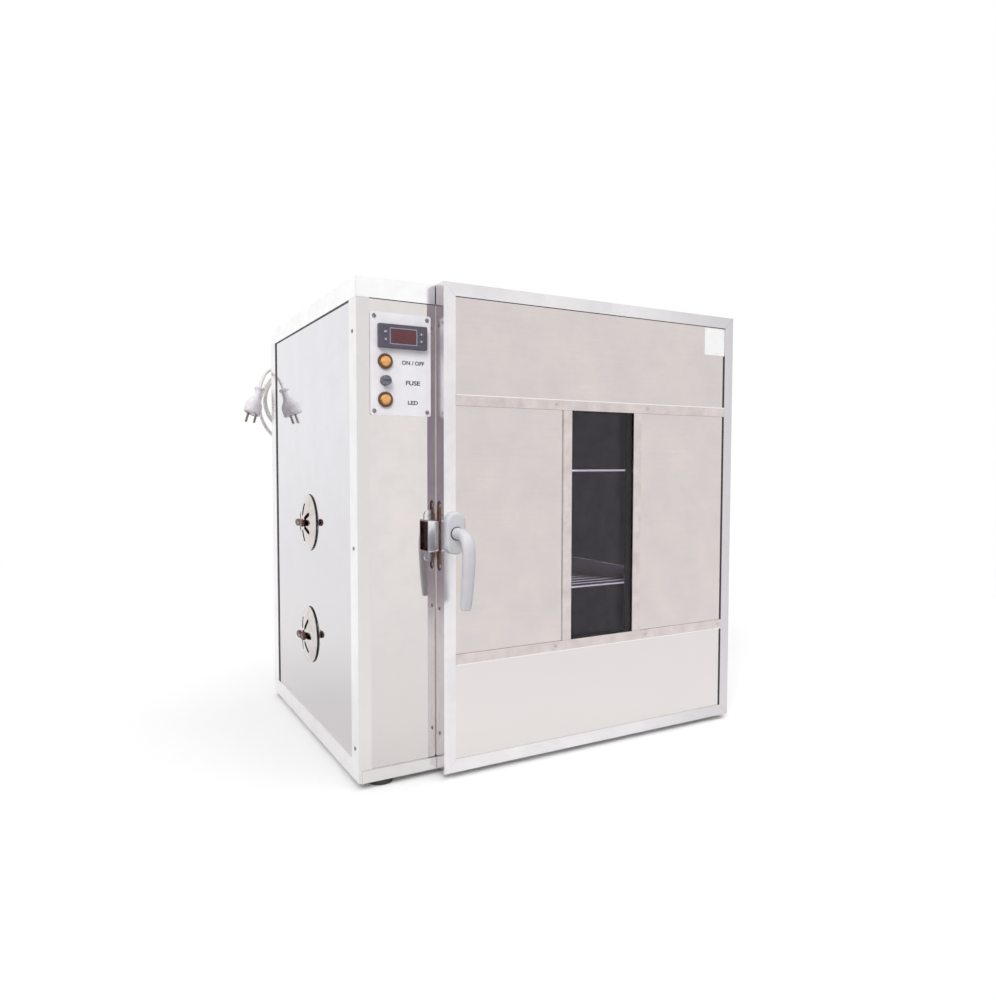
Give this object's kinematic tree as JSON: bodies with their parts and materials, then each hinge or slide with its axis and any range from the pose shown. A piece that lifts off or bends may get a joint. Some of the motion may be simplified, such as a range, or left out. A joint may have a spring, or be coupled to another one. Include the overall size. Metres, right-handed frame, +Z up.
{
  "type": "honey warming cabinet",
  "caption": "Insulated sheet-steel warming cabinet with a hinged glazed door, control column, turning vents, wire shelves and a fan, for warming honey containers.",
  "frame": {"origin": "on the floor under the middle of the cabinet's reach, from vent studs to hinge barrels and from door handle to cord hook", "axes": "+X to the door's hinge side, +Y to the rear, +Z up"},
  "size_m": [0.7893, 0.6972, 0.76],
  "materials": {
    "polished_steel": "polished",
    "liner_steel": "satin",
    "trim_aluminium": "satin",
    "insulation_wool": "matte",
    "foot_rubber": "matte",
    "seal_rubber": "matte",
    "plate_white": "satin",
    "control_black": "satin",
    "key_grey": "satin",
    "display_red": "gloss",
    "rocker_amber": "gloss",
    "disc_steel": "polished",
    "fastener_steel": "polished",
    "nut_bronze": "satin",
    "hinge_steel": "satin",
    "handle_silver": "satin",
    "window_glass": "clear",
    "fan_black": "matte",
    "heater_steel": "satin",
    "lamp_white": "satin",
    "shelf_wire": "polished",
    "cord_white": "satin"
  },
  "bodies": {
    "cabinet": {"base_panel": "polished_steel", "top_panel": "polished_steel", "left_side_panel": "polished_steel", "right_side_panel": "polished_steel", "rear_panel": "polished_steel", "front_panel": "polished_steel", "chamber_liner": "liner_steel", "fan_wall": "liner_steel", "shelf_rails": "liner_steel", "corner_trims": "trim_aluminium", "top_trims": "trim_aluminium", "bottom_trims": "trim_aluminium", "wall_insulation": "insulation_wool", "rubber_feet": "foot_rubber", "control_plate": "plate_white", "thermostat_case": "control_black", "switch_bodies": "control_black", "fuse_holder": "control_black", "thermostat_display": "display_red", "case_fasteners": "fastener_steel", "latch_keeper": "hinge_steel", "hinge_leaves_case": "hinge_steel", "hinge_pins": "hinge_steel", "cable_hook": "hinge_steel", "fan_frame": "fan_black", "heater": "heater_steel", "sensor_probe": "heater_steel", "lamp_strip": "lamp_white", "wire_shelves": "shelf_wire", "cord_lead": "cord_white", "cord_coil": "cord_white", "cord_tail": "cord_white", "power_plug": "cord_white", "cable_gland": "cord_white"},
    "door": {"door_frame": "trim_aluminium", "door_sheets": "polished_steel", "window_trim": "trim_aluminium", "door_back_sheet": "polished_steel", "window_panes": "window_glass", "window_gasket": "seal_rubber", "door_core": "insulation_wool", "door_seal": "seal_rubber", "lock_case": "hinge_steel", "handle_rosette": "handle_silver", "hinge_leaves_door": "hinge_steel", "door_fasteners": "fastener_steel"},
    "handle": {"handle_lever": "handle_silver"},
    "bolt": {"latch_bolt": "hinge_steel"},
    "set_button": {"set_key": "key_grey"},
    "lamp_button": {"lamp_key": "key_grey"},
    "up_button": {"up_key": "key_grey"},
    "down_button": {"down_key": "key_grey"},
    "power_switch": {"power_rocker": "rocker_amber"},
    "lamp_switch": {"lamp_rocker": "rocker_amber"},
    "fuse_holder_cap": {"fuse_cap": "control_black"},
    "upper_vent": {"upper_vent_disc": "disc_steel"},
    "lower_vent": {"lower_vent_disc": "disc_steel"},
    "upper_nut": {"upper_wing_nut": "nut_bronze"},
    "lower_nut": {"lower_wing_nut": "nut_bronze"},
    "fan_wheel": {"fan_rotor": "fan_black"}
  },
  "joints": [
    {"name": "door_swing", "type": "hinge", "parent": "cabinet", "child": "door", "pos_m": [0.3714, -0.2625, 0.385], "axis": [0, 0, 1], "range_deg": [0, 170]},
    {"name": "handle_turn", "type": "hinge", "parent": "door", "child": "handle", "pos_m": [-0.2139, -0.2906, 0.382], "axis": [0, -1, 0], "range_deg": [0, 90]},
    {"name": "bolt_throw", "type": "slide", "parent": "door", "child": "bolt", "axis": [-1, 0, 0], "range_m": [0, 0.016]},
    {"name": "set_button_press", "type": "slide", "parent": "cabinet", "child": "set_button", "axis": [0, 1, 0], "range_m": [0, 0.0006], "stiffness_N_per_m": 1500},
    {"name": "lamp_button_press", "type": "slide", "parent": "cabinet", "child": "lamp_button", "axis": [0, 1, 0], "range_m": [0, 0.0006], "stiffness_N_per_m": 1500},
    {"name": "up_button_press", "type": "slide", "parent": "cabinet", "child": "up_button", "axis": [0, 1, 0], "range_m": [0, 0.0006], "stiffness_N_per_m": 1500},
    {"name": "down_button_press", "type": "slide", "parent": "cabinet", "child": "down_button", "axis": [0, 1, 0], "range_m": [0, 0.0006], "stiffness_N_per_m": 1500},
    {"name": "power_switch_tilt", "type": "hinge", "parent": "cabinet", "child": "power_switch", "pos_m": [-0.3131, -0.2629, 0.6387], "axis": [-1, 0, 0], "range_deg": [0, 16]},
    {"name": "lamp_switch_tilt", "type": "hinge", "parent": "cabinet", "child": "lamp_switch", "pos_m": [-0.3131, -0.2629, 0.5825], "axis": [-1, 0, 0], "range_deg": [0, 16]},
    {"name": "fuse_cap_turn", "type": "hinge", "parent": "cabinet", "child": "fuse_holder_cap", "pos_m": [-0.3131, -0.2634, 0.6103], "axis": [0, -1, 0], "range_deg": [0, 60]},
    {"name": "upper_vent_turn", "type": "hinge", "parent": "cabinet", "child": "upper_vent", "pos_m": [-0.3554, 0.0046, 0.3835], "axis": [-1, 0, 0], "range_deg": [0, 30]},
    {"name": "upper_nut_turn", "type": "hinge", "parent": "cabinet", "child": "upper_nut", "pos_m": [-0.3684, 0.0046, 0.3835], "axis": [-1, 0, 0], "range_deg": [0, 180]},
    {"name": "lower_vent_turn", "type": "hinge", "parent": "cabinet", "child": "lower_vent", "pos_m": [-0.3554, 0.0046, 0.1835], "axis": [-1, 0, 0], "range_deg": [0, 30]},
    {"name": "lower_nut_turn", "type": "hinge", "parent": "cabinet", "child": "lower_nut", "pos_m": [-0.3684, 0.0046, 0.1835], "axis": [-1, 0, 0], "range_deg": [0, 180]},
    {"name": "fan_spin", "type": "hinge", "parent": "cabinet", "child": "fan_wheel", "pos_m": [-0.2459, 0.0086, 0.37], "axis": [1, 0, 0], "continuous": true}
  ],
  "couplings": [
    {"joint": "bolt_throw", "follows": "handle_turn", "m_per_rad": 0.010185}
  ]
}
